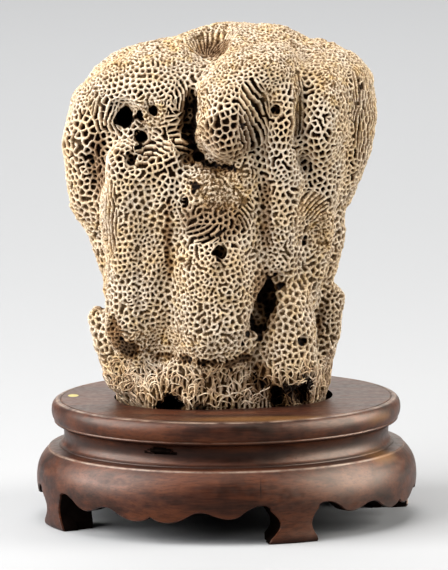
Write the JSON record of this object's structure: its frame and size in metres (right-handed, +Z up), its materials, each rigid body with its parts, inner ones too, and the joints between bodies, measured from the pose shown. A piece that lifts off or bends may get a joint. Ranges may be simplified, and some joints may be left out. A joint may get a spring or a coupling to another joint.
{
  "type": "scholars rock",
  "caption": "Lobed brain coral rock with caves, standing in a socket on a round moulded hardwood stand with a scalloped apron and feet.",
  "frame": {"origin": "on the surface that the feet stand on, at the stand's axis", "axes": "+Z up, -Y towards the viewer of the shown side, +X to that viewer's right"},
  "size_m": [0.228, 0.228, 0.2967],
  "materials": {
    "coral": "dry, matte, porous coral skeleton, cream ridges round dark brown pits",
    "rosewood": "dark red-brown hardwood, waxed to a satin gloss"
  },
  "bodies": {
    "root": {"coral_rock": "coral", "stand": "rosewood"}
  },
  "joints": []
}
